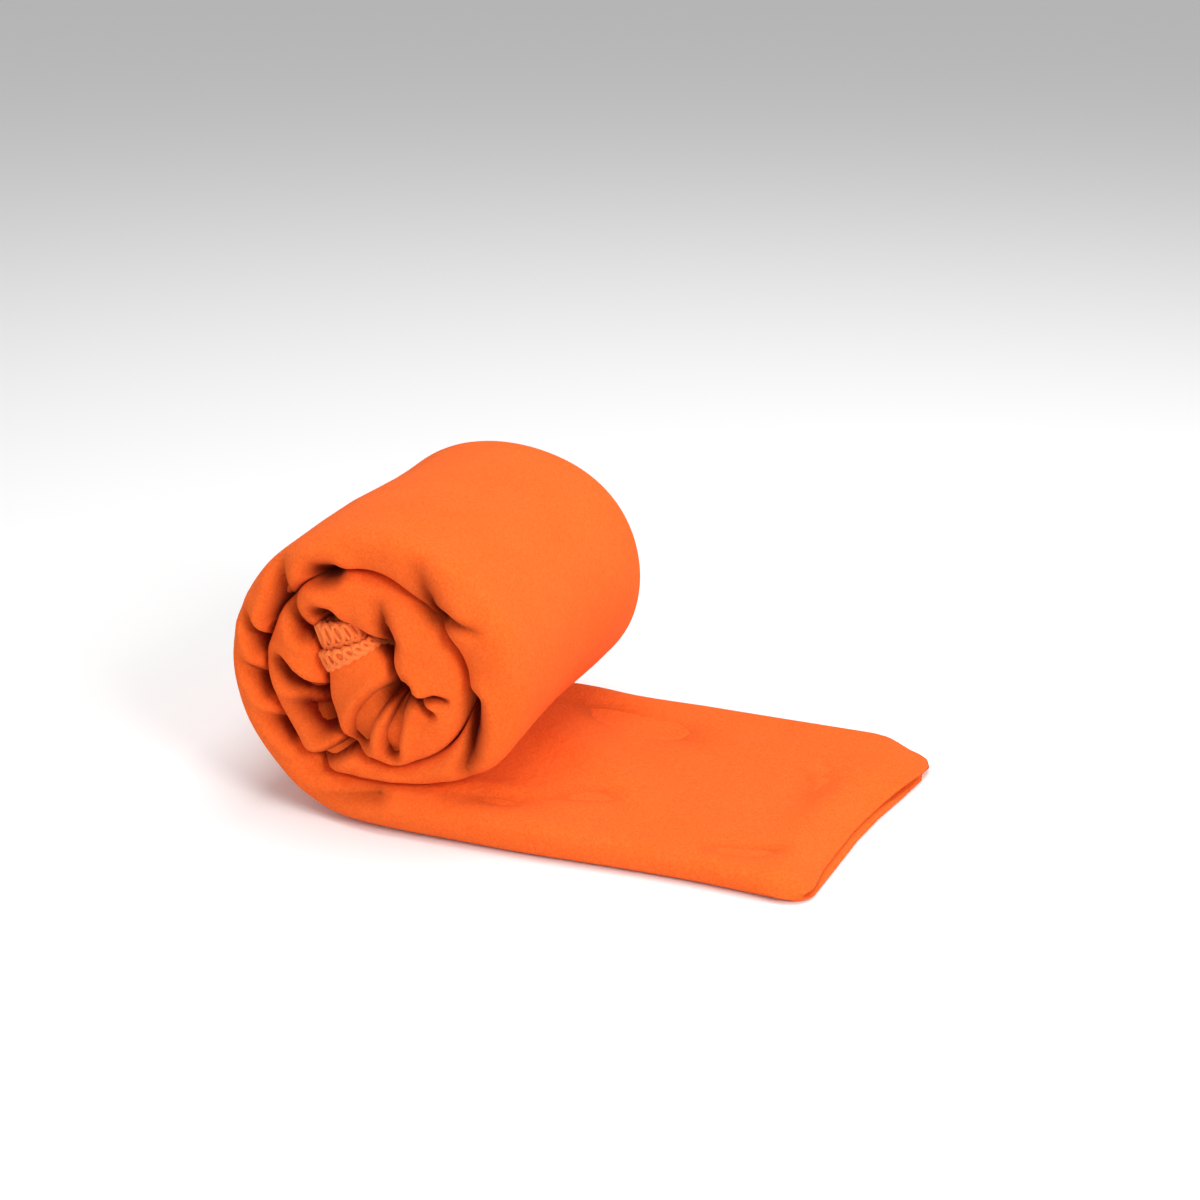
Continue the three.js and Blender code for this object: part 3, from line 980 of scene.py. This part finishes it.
cloth.data.materials.append(cloth_material())
thread_finish = thread_material()
for piece in threads.values():
    piece.data.materials.append(thread_finish)
print("finishes:", cloth.data.materials[0].name, "and", thread_finish.name)

# %% [markdown]
# ## Joining the frame
#
# The cloth and the long edges run on across the line where the tail bends. They stay on no body,
# with their placement baked into their meshes. The crosswise edges lie in the core and ride on the roll.

# %% Riding, baking and replacing
THIRDS = ("outer", "first", "last")
CLOTH_NODES = [f"{third}_third_{part}" for third in THIRDS for part in ("roll", "tail")]
SHORT_HEM_NODES = [f"short_hems_{third}_third" for third in THIRDS]

for (edge, kind), piece in threads.items():
    if edge.startswith("short"):
        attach(piece, "roll")
    else:
        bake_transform(piece)
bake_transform(cloth)
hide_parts(*CLOTH_NODES)
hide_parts(*SHORT_HEM_NODES)
for edge in ("first_long", "last_long"):
    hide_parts(f"{edge}_hem_roll", f"{edge}_hem_tail")

# %% [markdown]
# ## Studio
#
# A pale floor and large soft lamps give an even light: one wide lamp overhead, a smaller key from the
# right front and a weak fill from the left front, so the creases are soft shadows and nothing glares.

# %% Floor, lights and camera


def floor():
    """A pale square that the towel lies on."""
    size = 6.0
    mesh = bpy.data.meshes.new("floor")
    corners = [(-size, -size, 0), (size, -size, 0), (size, size, 0), (-size, size, 0)]
    mesh.from_pydata(corners, [], [(0, 1, 2, 3)])
    piece = bpy.data.objects.new("floor", mesh)
    bpy.context.scene.collection.objects.link(piece)
    material = bpy.data.materials.new("pale_floor")
    material.use_nodes = True
    shader = material.node_tree.nodes["Principled BSDF"]
    shader.inputs["Base Color"].default_value = (0.9, 0.9, 0.9, 1)
    shader.inputs["Roughness"].default_value = 0.9
    mesh.materials.append(material)


def area_light(name, place, aim, size, power):
    """A square lamp at a place, turned to face its aim."""
    light = bpy.data.lights.new(name, "AREA")
    light.size = size
    light.energy = power
    lamp = bpy.data.objects.new(name, light)
    lamp.location = place
    from_aim = lamp.location - aim
    lamp.rotation_euler = from_aim.to_track_quat("Z", "Y").to_euler()
    bpy.context.scene.collection.objects.link(lamp)


floor()
middle = Vector((0, 0, 0.03))
# Each lamp: its place and width in metres, and its power in watts.
LAMPS = {
    "overhead": ((0.1, 0.0, 0.9), 0.6, 5.0),
    "key": ((0.75, -0.45, 0.55), 0.35, 5.8),
    "fill": ((-0.6, -0.8, 0.5), 0.6, 1.3),
}
for name, (lamp_place, lamp_size, power) in LAMPS.items():
    area_light(name, Vector(lamp_place), middle, lamp_size, power)

world = bpy.data.worlds.new("studio")
bpy.context.scene.world = world
world.use_nodes = True
sky = world.node_tree.nodes["Background"]
sky.inputs["Color"].default_value = (1, 1, 1, 1)
sky.inputs["Strength"].default_value = 0.5
bpy.context.scene.view_settings.view_transform = "Standard"

AZIMUTH, ELEVATION = math.radians(19.52), math.radians(21.83)
DISTANCE, RIGHT_SHIFT, UP_SHIFT = 0.488, 0.040, 0.0418  # in metres
LENS, SENSOR = 54.45, 36
level = math.cos(ELEVATION)
back = Vector((math.sin(AZIMUTH) * level, -math.cos(AZIMUTH) * level, math.sin(ELEVATION)))
to_right = Vector((math.cos(AZIMUTH), math.sin(AZIMUTH), 0))
upward = back.cross(to_right)
camera_data = bpy.data.cameras.new("camera")
camera_data.sensor_width = SENSOR
camera_data.lens = LENS
camera = bpy.data.objects.new("camera", camera_data)
foot = Vector((AXIS_X * MM, 0, 0))
camera.location = foot + back * DISTANCE + to_right * RIGHT_SHIFT + upward * UP_SHIFT
camera.rotation_euler = back.to_track_quat("Z", "Y").to_euler()
bpy.context.scene.collection.objects.link(camera)
bpy.context.scene.camera = camera

# %% Sizes
print("cad box mm", [round(v / MM, 1) for v in (*cad_low, *cad_high)])
